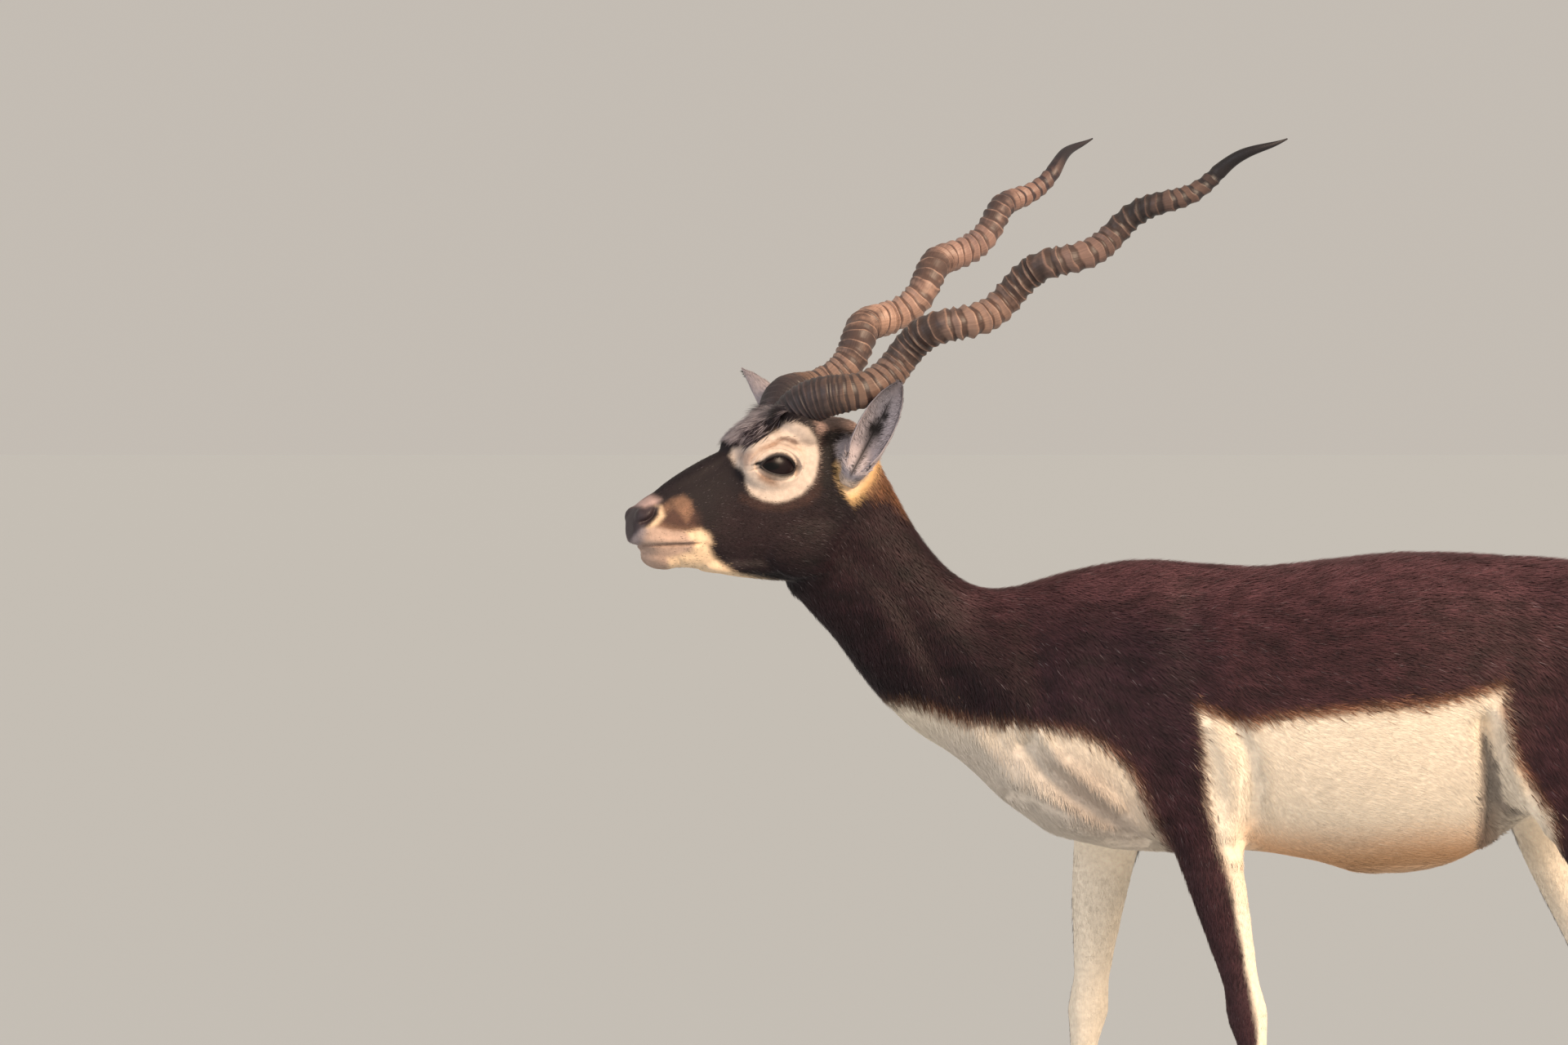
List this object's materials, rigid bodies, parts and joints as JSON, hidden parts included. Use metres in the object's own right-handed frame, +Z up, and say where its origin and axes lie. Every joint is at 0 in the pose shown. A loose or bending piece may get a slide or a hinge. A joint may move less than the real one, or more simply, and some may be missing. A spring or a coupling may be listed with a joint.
{
  "type": "blackbuck",
  "caption": "Life-size still model of an adult male antelope, the blackbuck: slender dark body with white belly, ringed spiral horns, cup ears and cloven hooves, standing mid-stride.",
  "frame": {"origin": "centre of the bounding box on the floor, under the soles", "axes": "nose along -X, the animal's left side along -Y, +Z up"},
  "size_m": [1.1358, 0.477, 1.186],
  "materials": {
    "dark_coat": "short dark chocolate-brown hair lying flat, nearly black on the face and neck",
    "pale_coat": "short cream-white hair of belly, chest and inner legs",
    "ear_coat": "short grey hair with long pale hairs inside the cup",
    "horn_sheath": "ringed brown horn, satin, dark and smooth at the tip",
    "hoof_horn": "black hoof horn, worn at the edge",
    "wet_eye": "wet, nearly black eye"
  },
  "bodies": {
    "root": {"head": "dark_coat", "neck": "dark_coat", "torso": "dark_coat", "tail": "dark_coat", "leg_front_left_upper": "dark_coat", "leg_front_left_lower": "pale_coat", "hoof_front_left": "hoof_horn", "leg_front_right_upper": "dark_coat", "leg_front_right_lower": "pale_coat", "hoof_front_right": "hoof_horn", "leg_hind_left_upper": "dark_coat", "leg_hind_left_lower": "pale_coat", "hoof_hind_left": "hoof_horn", "leg_hind_right_upper": "dark_coat", "leg_hind_right_lower": "pale_coat", "hoof_hind_right": "hoof_horn", "eye_left": "wet_eye", "eye_right": "wet_eye", "ear_left": "ear_coat", "ear_right": "ear_coat", "horn_left": "horn_sheath", "horn_right": "horn_sheath"}
  },
  "joints": []
}
